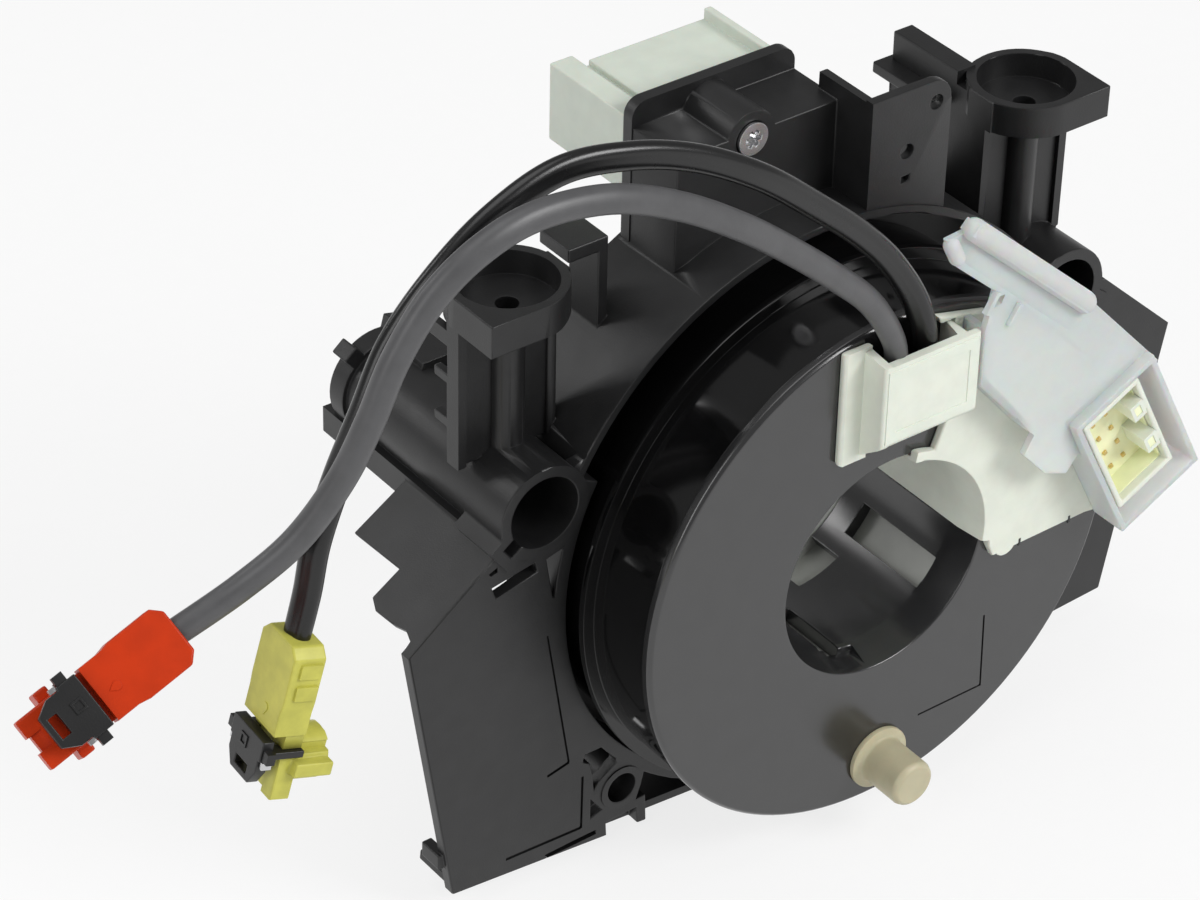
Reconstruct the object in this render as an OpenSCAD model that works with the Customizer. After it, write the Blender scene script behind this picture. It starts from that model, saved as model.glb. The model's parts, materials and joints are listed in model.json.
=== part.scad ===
// Steering clock spring on its switch-body housing, with two sheathed squib leads.
// Millimetres. The origin is on the steering axis, in the plane of the rotor's front face.
// X runs along the two screw towers, +Y points back down the column, +Z is up.

/* [Rotor] */
// How far the rotor disc stands out past the drum
disc_lip = 0.6; // [0.5:0.1:2]
// Thickness of the rotor disc
disc_t = 2; // [1.6:0.1:2.4]
// Radius of the bore behind its lead-in cone
bore_r = 19.8; // [19:0.1:20.4]
// How much wider the bore is at the front face
bore_flare = 1.7; // [1.2:0.1:2]
// Depth of the lead-in cone
bore_cone_d = 6.5; // [5:0.5:8]
// Wall of the rotor's sleeve
sleeve_wall = 2.6; // [2.4:0.1:2.8]
// Rear end of the rotor's sleeve, behind the front face
sleeve_back = 31; // [31:0.5:32]
// Wall of the rear half of the rotor
hub_wall = 2.5; // [2:0.1:3]
// Radial clearance where the rotor turns in the drum
hub_fit = 0.1; // [0.05:0.01:0.1]
// Thickness of the white liner let into the bore
liner_t = 1.3; // [1:0.1:1.6]
// Rear end of the liner
liner_back = 28; // [20:0.5:30]

/* [Drum] */
// Outer radius of the drum
drum_r = 49.4; // [49:0.1:49.8]
// Wall of the drum
drum_wall = 1.8; // [1.4:0.1:2.4]
// Gap between the rotor disc and the drum
drum_gap = 0.3; // [0.2:0.1:0.6]
// Rear face of the drum
drum_back = 31; // [29:0.5:33]
// Width of the drum's outer lip
lip_w = 2.2; // [1:0.1:2.6]
// Front face of the lip
lip_y = 15.8; // [12:0.2:17]
// Pitch of the ribbon's spiral
ribbon_pitch = 3; // [2.4:0.1:3.4]

/* [Housing] */
// Depth of the front plate's face behind the rotor's face
plate_y = 20; // [20:0.5:24]
// Thickness of the front plate
plate_t = 2.2; // [1.8:0.1:3]
// Gap between the drum's lip and the rim round it
rim_gap = 0.4; // [0.3:0.1:1]
// Width of the rim
rim_w = 2.6; // [2:0.1:3.4]
// How far the collar over the drum stands out past the rim
collar_step = 2.8; // [2:0.1:4]
// Wall of the collar
collar_wall = 1.5; // [1.2:0.1:2.2]
// Rear end of the collar
collar_back = 44; // [42:0.5:46]
// Distance of the left screw tube and tower from the steering axis
left_x = 57; // [56.5:0.1:58]
// Distance of the right screw tube from the steering axis
right_x = 55.4; // [55:0.1:58]
// Distance of the right tower from the steering axis
right_tower_x = 51.9; // [51.5:0.1:55]
// Height of the screw tubes above the steering axis
tube_z = 23; // [22.5:0.1:24]
// Radius of the bore of a screw tube
tube_bore = 6.6; // [6:0.1:7]
// Wall of a screw tube
tube_wall = 2.1; // [1.6:0.1:2.6]
// Rear end of the left screw tube
left_tube_back = 68; // [60:1:80]
// Rear end of the right screw tube
right_tube_back = 60; // [50:1:70]
// Depth of the towers' axis behind the rotor's face
tower_y = 30.4; // [30:0.1:32]
// Height of the top of a tower's head
tower_top = 62.4; // [60:0.2:66]
// Radius of a tower's head
head_r = 10.2; // [9.6:0.1:11]
// Height of a tower's head
head_h = 6; // [5:0.2:8]
// Depth of the recess in a tower's head
recess_d = 4.6; // [3:0.2:5]
// Radius of the screw hole in a tower
tower_hole = 1.9; // [1.4:0.1:2.4]

/* [Rear connector] */
// Left side of the connector box
box_left = -24.5; // [-25:0.1:-24]
// Right side of the connector box
box_right = 9.2; // [9:0.1:10]
// Front face of the connector box
box_y = 29; // [28:0.5:31]
// Top of the connector box
box_top = 73.5; // [72.5:0.1:74.5]
// Front face of the flange behind the box
flange_y = 41; // [40:0.5:42]
// Thickness of the flange
flange_t = 2.4; // [2:0.1:3]
// Top of the flange
flange_top = 78; // [77:0.5:80]
// Length of the white connector shell
shell_len = 20.4; // [16:0.2:24]
// Height of the white connector shell
shell_h = 14.5; // [13:0.1:16]
// Wall of the white connector shell
shell_wall = 1.5; // [1.2:0.1:2]
// Distance between the connector's pins
pin_pitch = 3.4; // [2.5:0.1:4]

/* [Tab] */
// Left side of the drilled tab
tab_left = 8.4; // [8:0.1:9]
// Width of the drilled tab
tab_w = 17; // [15:0.5:18]
// Top of the drilled tab
tab_top = 77; // [75:0.5:79]
// Radius of the tab's corner hole
tab_hole = 1.35; // [1:0.05:1.6]

/* [Rotor connector] */
// Thickness of the white plate on the rotor's face
base_t = 1.6; // [1.2:0.1:2]
// Height of the socket above the rotor's face
socket_h = 9; // [8:0.5:11]
// Length of the socket
socket_len = 21.4; // [20:0.2:24]
// Width of the socket
socket_w = 11; // [10:0.2:12]
// Wall of the socket
socket_wall = 1.1; // [0.9:0.1:1.4]
// Wall of the frosted cover
cover_wall = 1.2; // [0.9:0.1:1.4]

/* [Leads] */
// Diameter of a sheathed lead
lead_d = 4.6; // [4.2:0.1:4.8]
// Length of a squib plug
plug_len = 27; // [25:0.5:30]
// Width of a squib plug
plug_w = 10.4; // [10:0.1:12]
// Thickness of a squib plug
plug_t = 5.6; // [5.2:0.1:6.4]
// Travel of a plug's locking slide
lock_travel = 1.8; // [1.2:0.1:2]

/* [Drive pin] */
// Radius of the pin's flange
pin_flange_r = 6; // [5.5:0.1:6.5]
// Radius of the pin's stem
pin_r = 4.4; // [4:0.1:4.8]
// Length of the pin above the rotor's face
pin_len = 10.4; // [9:0.2:12]

/* [Hidden] */
$fn = 72;
eps = 0.01;

// Fits shared by several pieces
seat_fit = 0.1;
pin_fit = 0.05;

disc_r = drum_r + disc_lip;
bore_front_r = bore_r + bore_flare;
sleeve_r = bore_r + sleeve_wall;
lip_r = drum_r + lip_w;
rim_r = lip_r + rim_gap;
rim_out = rim_r + rim_w;
collar_r = rim_out + collar_step;
collar_in = collar_r - collar_wall;
collar_front = plate_y - 0.3;
collar_mid = collar_in + collar_wall / 3;
box_foot = collar_in - 5.9;
collar_a0 = 28;
collar_a1 = 152;
hub_in = sleeve_r + seat_fit;
hub_r = hub_in + hub_wall;
hub_flange_r = hub_r + 2.4;
hub_back = sleeve_back + 2;
web_y = drum_back;
web_t = 2.5;
web_hole_r = hub_flange_r + 1;
drum_front = disc_t + drum_gap;
drum_in = drum_r - drum_wall;
drum_hole = hub_r + hub_fit;
drum_floor = drum_back - drum_wall;
lip_t = 1.4;
screw_circle = 40;
screw_r = 1.4;
screw_head_r = 2.8;
screw_head_h = 1.8;
tube_r = tube_bore + tube_wall;
head_bottom = tower_top - head_h;
fin_bottom = tube_z + 6.5;
recess_floor = tower_top - recess_d;
rear_screw = [-9.4, 72.4];
boss_r = 5;
box_wall = 1.8;
shell_y = flange_y + flange_t;
shell_top = 74.8;
shell_bottom = shell_top - shell_h;
shell_floor = 2;
rib_t = 1.6;
corner_boss = [-39.5, -43.3];
corner_hole_r = 2.9;
corner_wall = 1.4;
tab_t = 1.8;
line_depth = 0.5;

socket_at = [45.8, 11.2];
socket_turn = 27;
socket_out = [socket_w + 2 * socket_wall, socket_len + 2 * socket_wall];
cover_low = [-8, -17.3];
cover_high = [11, 13.2];
panel_y = 7;
liner_r = bore_r + liner_t - seat_fit;
liner_a0 = -9;
liner_a1 = 80;
pin_at = [1, 8 - disc_r];
lead_y = -2.8;
clip_wall = 1.5;
clip_y = lead_y - lead_d / 2 - seat_fit;
clip_floor = disc_r - 19.2;
clip_top = disc_r - 3.5;
lead_z = clip_floor + clip_wall;

// Routes of the two leads, from the clip to the plug
grey_route = [[-3.4, lead_y, lead_z], [-3.4, lead_y, 44], [-6, -4, 51], [-12, -5, 60], [-20, -6, 68],
              [-30, -7, 77], [-41, -8, 86], [-53, -8, 94], [-66, -8, 100], [-79, -8, 102],
              [-89, -8, 100], [-97, -7, 94], [-103, -6, 85], [-107, -5, 75], [-111, -3, 65],
              [-117, 0, 55], [-125, 3, 48], [-135, 5, 43]];
black_route = [[2.6, lead_y, lead_z], [2.6, lead_y, 44], [0, -3, 54], [-6, -3, 64], [-13, -3, 72],
               [-23, -3, 81], [-34, -3, 90], [-46, -2, 97], [-58, -1, 101], [-70, 0, 102],
               [-82, 0, 98], [-92, 0, 91], [-99, 1, 82], [-104, 1, 72], [-108, 2, 62],
               [-112, 2, 52], [-114, 2, 43], [-116, 2, 36]];
lead_sides = 10;
ring_step = 0.5;
orange_dir = [-10, 0, -4];
orange_face = [-4, -7, 6];
yellow_dir = [-3, 0, -10];
yellow_face = [-10, 1, 3];

waist_x = plug_len * 0.35;
nose_x = plug_len * 0.6;
nose_w = plug_w - 1.6;
nose_top = plug_t / 2 - 2.4;
lock_gap = lock_travel + 0.1;
lock_t = 2;
barrel_x = plug_len * 0.78;
barrel_r = 4.4;
barrel_len = 5.6;
contact_x = 1.6;
contact_r = 0.7;
leg = [1.2, 2.6];
leg_x = nose_x + 2.2;
leg_y = nose_w / 2 - 0.4;

function unit(v) = v / norm(v);
function last(list) = list[len(list) - 1];
function on_circle(r, a) = [r * cos(a), r * sin(a)];

// Extrudes a front-view outline, x to the right and z up, from depth y0 to depth y1
module prism(y0, y1) {
    translate([0, y1, 0]) rotate([90, 0, 0]) linear_extrude(height = y1 - y0) children();
}

// Extrudes a side-view outline, y to the back and z up, from x0 to x1
module side_prism(x0, x1) {
    translate([x0, 0, 0]) rotate([90, 0, 90]) linear_extrude(height = x1 - x0) children();
}

// A round bar along the steering direction
module rod(at, r, y0, y1) {
    translate([at[0], y1, at[1]]) rotate([90, 0, 0]) cylinder(r = r, h = y1 - y0, $fn = r < 7 ? 36 : $fn);
}

// Turns an outline of [radius, depth] points about the steering axis
module turned() {
    rotate([-90, 0, 0]) rotate_extrude() children();
}

// A slice of a ring between two angles, counted from the X axis in the front view
module sector(r0, r1, a0, a1) {
    steps = ceil((a1 - a0) / 30);
    intersection() {
        difference() {
            circle(r1);
            circle(r0);
        }
        polygon(concat([[0, 0]], [for (i = [0:steps]) on_circle(1.5 * r1, a0 + (a1 - a0) * i / steps)]));
    }
}

// A flat bar of width w between two points of the front view
module bar(a, b, w) {
    d = b - a;
    translate(a) rotate(atan2(d[1], d[0])) translate([0, -w / 2]) square([norm(d), w]);
}

// A box given by two opposite corners
module block(p, q) {
    translate(p) cube(q - p);
}

// Housing: front plate, collar and rim
module plate_outline() {
    polygon([[-67.8, 16.3], [-83.5, 4.5], [-75, -49.7], [-22, -54.5], [22, -54.5], [61, -49.6],
             [72, -49], [81.1, -1.2], [82.6, 6.2], [65.8, 21.7], [50, 30], [-50, 30]]);
    translate([-left_x, tube_z]) circle(tube_r);
    translate([right_x, tube_z]) circle(tube_r);
}

module opening() {
    circle(rim_r);
    sector(0, collar_in, collar_a0, collar_a1);
}

module plate_slots() {
    polygon([[-67, 11.7], [-58.5, 13.2], [-58, 11.2], [-66.2, 9.4]]);
    polygon([[-67.8, 14.9], [-65.9, 15.7], [-65.7, 14.7], [-67.3, 14.3]]);
    polygon([[-56.1, 12.9], [-52.9, 13.7], [-54, 4.2], [-54.7, 4.6]]);
    polygon([[-47.8, -33.8], [-47.5, -32.4], [-43.7, -32.4], [-41, -35.1], [-40.7, -37.2], [-42.5, -38.5],
             [-44.5, -39.9], [-45.3, -41.4], [-45.7, -38], [-46.4, -34.7]]);
    polygon([[-46, -43], [-43.6, -46.3], [-45.9, -47.1]]);
    polygon([[-42.7, -49.8], [-35.9, -49.6], [-35.7, -54], [-42.4, -54]]);
    polygon([[-55.7, -50.6], [-44.9, -50.5], [-44.7, -51.3], [-55.2, -51.5]]);
    polygon([[-36, -47.6], [-35, -44.2], [-34.5, -42.3], [-28.6, -46.6], [-21.3, -50.3], [-21.3, -56],
             [-33.7, -55], [-34.1, -47.4]]);
}

// Fine lines sunk in the plate's front
module plate_lines() {
    prism(plate_y - 1, plate_y + line_depth) {
        bar([-63.9, -47.5], [-48.1, -48.2], 0.6);
        bar([-48, -48.4], [-47.9, -36.9], 0.5);
        bar([-55.8, -3], [-50.9, -32.3], 0.4);
        bar([-50.8, -32.3], [-55.4, -33.3], 0.6);
    }
}

module rim() {
    prism(plate_y, web_y + web_t) difference() {
        circle(rim_out);
        opening();
    }
    prism(collar_front, collar_back) sector(collar_in, collar_r, collar_a0, collar_a1);
    prism(plate_y, web_y + web_t) {
        sector(rim_r, collar_r, collar_a0 - 2, collar_a0);
        sector(rim_r, collar_r, collar_a1, collar_a1 + 2);
    }
    prism(web_y, web_y + web_t) difference() {
        union() {
            circle(rim_out - eps);
            sector(0, collar_r - eps, collar_a0, collar_a1);
        }
        circle(web_hole_r);
    }
}

// Ribs and skirt on the plate's back
module plate_ribs() {
    prism(plate_y + plate_t - eps, web_y) {
        bar([-52, -14], [-72, -18], rib_t);
        bar([-48, -24], [-70, -44], rib_t);
        bar([52, -14], [75, -18], rib_t);
        bar([46, -28], [69, -45], rib_t);
        bar([-74.2, -48.8], [-12, -53.9], rib_t);
        bar([12, -53.9], [70, -48.4], rib_t);
    }
}

// The sloping side walls of the two wings, in depth steps from the corner to the tube
module left_wing_wall() {
    translate([-83.5, 0, 4.5]) rotate([0, -37, 0]) translate([0, 0, -rib_t]) linear_extrude(height = rib_t)
        polygon([[0, 20.5], [0, 22], [2.4, 22.4], [3.3, 24.6], [2.6, 27.8], [2.4, 32.5], [3.7, 34.9],
                 [10.1, 34.5], [9.7, 47.2], [22, 46.3], [22, 20.5]]);
}

module right_wing_wall() {
    translate([82.6, 0, 6.2]) rotate([0, 222.7, 0]) linear_extrude(height = rib_t)
        polygon([[0, 20.5], [0, 34], [10, 34], [10, 44], [24, 44], [24, 20.5]]);
}

// One screw tower, drawn about its own axis, with its outer side towards +X
module tower() {
    translate([0, 0, tube_z]) cylinder(r = 3, h = head_bottom + 1 - tube_z, $fn = 36);
    block([-9, 0, fin_bottom], [9, rib_t, head_bottom + 1]);
    block([8.4, -0.8, fin_bottom], [8.4 + rib_t, 2.4, head_bottom + 1]);
    block([-9.4, -0.8, fin_bottom], [-9.4 + rib_t, 2.4, head_bottom + 1]);
    for (z = [36.5, 45]) block([8.6, 2, z], [10, 6, z + rib_t]);
    block([8.6, 2, 52], [10, 9, 55]);
    translate([0, 0, head_bottom]) {
        cylinder(r = head_r, h = head_h);
        block([0, -head_r, 0], [head_r, 0, head_h]);
        block([-head_r, -3, 0], [0, 3, head_h]);
    }
}

module tower_holes() {
    translate([0, 0, recess_floor]) cylinder(r = head_r - 1.7, h = recess_d + eps);
    translate([0, 0, recess_floor - 20]) cylinder(r = tower_hole, h = 21, $fn = 36);
}

module towers() {
    translate([right_tower_x, tower_y, 0]) children();
    translate([-left_x, tower_y, 0]) mirror([1, 0, 0]) children();
}

// A key notch outline at the lower outer side of a tube's mouth
module mouth_key(x, out, w, reach) {
    c = [x, tube_z];
    bar(c, c + on_circle(reach, out < 0 ? 216 : -36), w);
}

module tubes() {
    rod([-left_x, tube_z], tube_r, plate_y - 0.5, left_tube_back);
    rod([-left_x, tube_z], tube_r + 0.8, left_tube_back - 4, left_tube_back);
    rod([right_x, tube_z], tube_r, plate_y - 0.5, right_tube_back);
    prism(left_tube_back - 4, left_tube_back) for (a = [75, 130])
        bar([-left_x, tube_z] + on_circle(tube_r, a), [-left_x, tube_z] + on_circle(tube_r + 3.2, a), 3);
    prism(plate_y - 0.5, plate_y + 10) {
        mouth_key(-left_x, -1, 6, tube_r + 2.4);
        mouth_key(right_x, 1, 6, tube_r + 2.4);
    }
}

module bores() {
    rod([-left_x, tube_z], tube_bore, plate_y - 1, left_tube_back + 1);
    rod([right_x, tube_z], tube_bore, plate_y - 1, right_tube_back + 1);
    prism(plate_y - 1, plate_y + 6) {
        mouth_key(-left_x, -1, 2.6, tube_bore + 2.4);
        mouth_key(right_x, 1, 2.6, tube_bore + 2.4);
    }
    rod(corner_boss, corner_hole_r, plate_y - 1, plate_y + 12);
}

// Box and flange that carry the rear connector
module rear_box() {
    difference() {
        union() {
            block([box_left, box_y, box_foot], [box_right, flange_y + eps, box_top]);
            block([box_left - 0.2, flange_y, box_foot], [box_right, shell_y, flange_top - 3]);
            block([box_left + 2.8, flange_y, 60], [box_right - 3, shell_y, flange_top]);
            for (x = [box_left + 2.8, box_right - 3]) rod([x, flange_top - 3], 3, flange_y, shell_y);
            rod(rear_screw, boss_r, box_y, flange_y + eps);
        }
        rod([0, 0], collar_in, box_y - 1, shell_y + 1);
        block([box_left + box_wall, box_y + box_wall, 58.5],
              [box_right - box_wall, flange_y - box_wall, box_top - box_wall]);
        block([box_left + 4, flange_y - 4, shell_bottom + 3], [box_right - 4, shell_y + 1, shell_top - 7]);
    }
    rod(rear_screw, boss_r, box_y, flange_y + eps);
}

// Drilled tab in front of the box, with its side wall
module tab() {
    right = tab_left + tab_w;
    corner = right - 4;
    foot = box_foot - 2;
    difference() {
        union() {
            prism(plate_y, plate_y + tab_t) {
                polygon([[tab_left, box_foot], [tab_left, tab_top], [corner, tab_top], [corner, foot]]);
                polygon([[corner - 1, foot], [corner - 1, tab_top - 4], [right, tab_top - 4], [right, foot]]);
                translate([corner, tab_top - 4]) circle(4);
            }
            block([tab_left, plate_y, box_foot], [tab_left + rib_t, 34, tab_top - 0.4]);
        }
        rod([0, 0], collar_in, plate_y - 1, 35);
        rod([right - 3.2, tab_top - 4.2], tab_hole, plate_y - 1, plate_y + 3);
        rod([right - 9, 65.3], tab_hole, plate_y - 1, plate_y + 3);
        block([right - 9.8, plate_y - 1, 59.4], [right - 8.2, plate_y + 3, 60.6]);
    }
}

// Height of the middle of the collar's wall at a distance x from the steering axis
function on_collar(x) = sqrt(collar_mid * collar_mid - x * x);

// Rails behind the towers that carry the stalk switches
module rails() {
    block([43, 31, on_collar(45)], [45, 55, 60.5]);
    block([43, 38, 60.5 - eps], [47, 55, 63]);
    block([39.5, 40, 55.5], [43 + eps, 56, 57.5]);
    block([43, 52, 55.5], [45, 56, 57.5]);
    block([-37, 33, on_collar(37)], [-35, 41, 61]);
    block([-43, 33, 58.5], [-37 + eps, 41, 61]);
    block([-left_x, 54, 30], [-42, 62, 33]);
    block([-44, 36, 30], [-42, 62, 36]);
    block([-66, plate_y + eps, 13.5], [-58, 71, 13.5 + rib_t]);
    block([-66, plate_y + eps, 13.5], [-66 + rib_t, 71, 18.5]);
    block([-66, 67, 13.5], [-58, 71, 18.5]);
}

module housing() {
    color("#26282b") difference() {
        union() {
            prism(plate_y, plate_y + plate_t) difference() {
                plate_outline();
                opening();
                plate_slots();
            }
            rim();
            plate_ribs();
            left_wing_wall();
            right_wing_wall();
            towers() tower();
            tubes();
            rod(corner_boss, corner_hole_r + corner_wall, plate_y - 0.2, web_y);
            rear_box();
            tab();
            rails();
            block([-77.2, 21, -44], [-75.2, 26, -41]);
        }
        towers() tower_holes();
        bores();
        plate_lines();
        for (a = [90, 210, 330])
            rod(on_circle(screw_circle, a), screw_r + pin_fit, web_y - 1, web_y + web_t + 1);
        rod(rear_screw, 1.5, box_y - 1, flange_y + 1);
        rod(rear_screw, 3.1, box_y - 1, box_y + 1.2);
    }
}

// Drum that holds the wound ribbon
module cassette_case() {
    color("#101113") difference() {
        turned() polygon([[drum_in, drum_front], [drum_r, drum_front], [drum_r, lip_y], [lip_r, lip_y],
                          [lip_r, lip_y + lip_t], [drum_r, lip_y + lip_t], [drum_r, drum_back],
                          [drum_hole, drum_back], [drum_hole, drum_floor], [drum_in, drum_floor]]);
        for (a = [90, 210, 330])
            rod(on_circle(screw_circle, a), screw_r + pin_fit, drum_floor - 1, drum_back + 1);
    }
}

module cassette_screws() {
    color("#9a9da0") for (a = [90, 210, 330]) {
        rod(on_circle(screw_circle, a), screw_r, drum_floor, web_y + web_t + eps);
        difference() {
            rod(on_circle(screw_circle, a), screw_head_r, web_y + web_t, web_y + web_t + screw_head_h);
            rod(on_circle(screw_circle, a), 1.2, web_y + web_t + 0.6, web_y + web_t + 3);
        }
    }
}

// Flat ribbon wound in a spiral round the hub
module ribbon_cable() {
    first = hub_flange_r + 1;
    turns = (drum_in - 1 - first) / ribbon_pitch;
    steps = floor(turns * 24);
    inner = [for (i = [0:steps]) on_circle(first + ribbon_pitch * i / 24, 15 * i)];
    outer = [for (i = [0:steps]) on_circle(first + 0.3 + ribbon_pitch * i / 24, 15 * i)];
    color("#3a3c40") prism(drum_front + 2, drum_floor)
        polygon(concat(inner, [for (i = [0:steps]) outer[steps - i]]));
}

// White shell of the rear connector, open to the back
module rear_connector() {
    groove = box_left + 4.6;
    shell_back = shell_y + shell_len;
    color("#e6e8e0") difference() {
        union() {
            block([box_left, shell_y, shell_bottom], [box_right, shell_back, shell_top - 2]);
            block([box_left, shell_y, shell_top - 3], [groove, shell_back, shell_top]);
            block([box_right - shell_wall, shell_y, shell_top - 3], [box_right, shell_back, shell_top]);
        }
        block([groove, shell_y - 1, shell_top - 3], [groove + 3.4, shell_back + 1, shell_top]);
        block([box_left + shell_wall, shell_y + shell_floor, shell_bottom + shell_wall],
              [box_right - shell_wall, shell_back + 1, shell_top - 3 - shell_wall]);
        rear_pins(pin_fit, shell_y - 1, shell_y + shell_floor + 1);
    }
}

// Two rows of square pins, each wider than its size by twice the gap
module rear_pins(gap, y0, y1) {
    for (i = [-3:3], z = [shell_bottom + 4, shell_bottom + 8])
        translate([(box_left + box_right) / 2 + i * pin_pitch - 0.4 - gap, y0, z - 0.4 - gap])
            cube([0.8 + 2 * gap, y1 - y0, 0.8 + 2 * gap]);
}

module rear_terminals() {
    color("#b99a4a") {
        rear_pins(0, shell_y, shell_y + shell_len - 10);
        rear_pins(0.3, shell_y + shell_floor, shell_y + shell_floor + 0.8);
    }
}

module connector_screw() {
    color("#a7a9ab") {
        rod(rear_screw, 1.5 - pin_fit, box_y + 1, box_y + 9);
        difference() {
            rod(rear_screw, 3, box_y - 0.6, box_y + 1.2);
            prism(box_y - 1, box_y + 0.4) for (a = [0, 60, 120])
                bar(rear_screw + on_circle(1.6, a), rear_screw - on_circle(1.6, a), 0.8);
        }
    }
}

// Rotor: face disc with the front half of the bore
module rotor_disc() {
    color("#2a2b2e") difference() {
        turned() polygon([[bore_front_r, 0], [disc_r - 0.6, 0], [disc_r, 0.6], [disc_r, disc_t],
                          [sleeve_r, disc_t], [sleeve_r, sleeve_back], [bore_r, sleeve_back],
                          [bore_r, bore_cone_d]]);
        prism(6.3, 25.7) sector(bore_r - 1, sleeve_r + 1, -48, -30);
        prism(23.5, sleeve_back + 1) sector(bore_r - 1, sleeve_r + 1, -86, -60);
        prism(5.5, 19) sector(bore_r - 1, sleeve_r + 1, -116, -103);
        prism(-1, 5.5) sector(bore_r - 1, sleeve_r - 1.2, -113, -95);
        prism(-1, liner_back) sector(bore_r - 1, bore_r + liner_t, liner_a0, liner_a1);
        prism(-1, line_depth) {
            bar([23.9, -21.5], [24.4, -37.2], 0.4);
            bar([24.6, -37.2], [10.1, -37.3], 0.4);
        }
    }
}

module hub_sleeve() {
    color("#d9dad4") turned()
        polygon([[hub_in, disc_t], [hub_r, disc_t], [hub_r, drum_back + drum_gap],
                 [hub_flange_r, drum_back + drum_gap], [hub_flange_r, hub_back], [bore_r, hub_back],
                 [bore_r, sleeve_back], [hub_in, sleeve_back]]);
}

// Draws the socket's own outline frame, long side up, in the front view
module at_socket() {
    translate(socket_at) rotate(socket_turn) children();
}

// White carrier of the rotor's socket, with the liner in the bore
module connector_base() {
    edge = bore_front_r + 0.5;
    color("#e9ebe2") {
        difference() {
            union() {
                prism(-base_t, 0) {
                    difference() {
                        sector(bore_front_r, disc_r - 2.4, -9, 69.5);
                        circle(bore_front_r);
                    }
                    polygon([[edge, -4.9], [edge + 1.2, -7.4], [45.4, -7], [46.6, -5], [30, 0], [edge, 0]]);
                    translate([26, -6]) circle(2.4);
                    polygon([[22, 41], [17, 45.4], [6.3, 48.2], [6.8, 46.8], [10, 46.8], [10, 36],
                             [12.2, 21.9], [20, 25]]);
                }
                prism(-socket_h, -base_t + eps) at_socket() square(socket_out, center = true);
            }
            prism(-socket_h - 1, -base_t) at_socket() difference() {
                square([socket_w, socket_len], center = true);
                for (y = [-5, 4]) translate([socket_w / 2 - 1.6, y]) square([2, 2.6]);
            }
        }
        intersection() {
            turned() polygon([[bore_front_r - 0.9, -base_t], [bore_front_r + 1, -base_t],
                              [bore_front_r + 1, 0], [liner_r, 0], [liner_r, liner_back],
                              [bore_r, liner_back], [bore_r, 4]]);
            prism(-base_t - 1, liner_back + 1) sector(1, 30, liner_a0 + 0.4, liner_a1 - 0.4);
        }
    }
}

module socket_terminals() {
    color("#c7a24e") prism(-4, -base_t) at_socket() for (x = [-2.4, 0.6], y = [-8:4:8])
        translate([x, y]) square(0.8, center = true);
}

// Frosted cover: a frame round the socket and a guard panel beside the leads
module cover_frame(inset) {
    at_socket() translate(cover_low + [inset, inset]) square(cover_high - cover_low - 2 * [inset, inset]);
}

module socket_cover() {
    color("#cfdbe6") {
        prism(-socket_h, -base_t) difference() {
            cover_frame(0);
            cover_frame(cover_wall);
        }
        prism(-panel_y, cover_wall - panel_y) difference() {
            polygon([[1.8, 67.2], [8.8, 67.8], [36.1, 42.6], [52.5, 24.9], [44, 8], [35.8, 11.9],
                     [33.4, 8.9], [28.6, 10.9], [23.1, 16.9], [25, 20.3], [11.8, 35.3], [11.8, 46.5],
                     [13.4, 53.4], [4.2, 61.6]]);
            cover_frame(cover_wall / 2);
            polygon([[12.9, 50.2], [14.9, 50.6], [15.6, 52.4], [13.6, 52.2]]);
        }
        prism(-socket_h, cover_wall - panel_y) bar([6.2, 68.7], [33.4, 43.7], 2.2);
        prism(-panel_y, -base_t) {
            bar([35.8, 41.8], [50.6, 25.9], cover_wall);
            bar([12.4, 35.6], [12.4, 46.4], cover_wall);
            bar([12.4, 35.9], [24.6, 21.5], cover_wall);
        }
    }
}

// Off-white clip that holds the two leads on the disc
module cord_clip() {
    color("#eceee4") {
        block([-13, -clip_wall, disc_r - 24], [-7.5, 0, disc_r - 2]);
        side_prism(-9, -7.5)
            polygon([[0, disc_r - 24], [0, clip_top + 1], [clip_y - clip_wall, clip_top + 0.2],
                     [clip_y - clip_wall, clip_floor]]);
        block([-9, clip_y - clip_wall, clip_floor], [11.5, clip_y, clip_top]);
        block([-9, clip_y - eps, clip_floor], [9.5, 0, clip_floor + clip_wall]);
        block([8, clip_y - eps, clip_floor], [9.5, 0, clip_top]);
    }
}

module drive_pin() {
    top = -pin_len;
    color("#e6dfc6") translate([pin_at[0], 0, pin_at[1]]) rotate([-90, 0, 0]) rotate_extrude()
        polygon([[0, 0], [pin_flange_r, 0], [pin_flange_r, -1], [pin_r + 0.3, -1.2], [pin_r, -2],
                 [pin_r, top + 1.2], [pin_r - 0.3, top + 0.5], [pin_r - 1, top], [0, top]]);
}

// Points of a smooth curve through the route, and the tube swept along it
function blend_at(a, b, c, d, t) =
    0.5 * (2 * b + (c - a) * t + (2 * a - 5 * b + 4 * c - d) * t * t + (3 * b - a - 3 * c + d) * t * t * t);
function smooth(p) = [
    for (i = [0:len(p) - 2], t = [0:ring_step:0.99])
        blend_at(p[max(i - 1, 0)], p[i], p[i + 1], p[min(i + 2, len(p) - 1)], t),
    last(p)
];
function ring(at, along, r) =
    let (u = unit(cross(along, [0, 1, 0])), v = unit(cross(u, along)))
    [for (k = [0:lead_sides - 1]) at + r * (cos(360 * k / lead_sides) * u + sin(360 * k / lead_sides) * v)];

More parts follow.
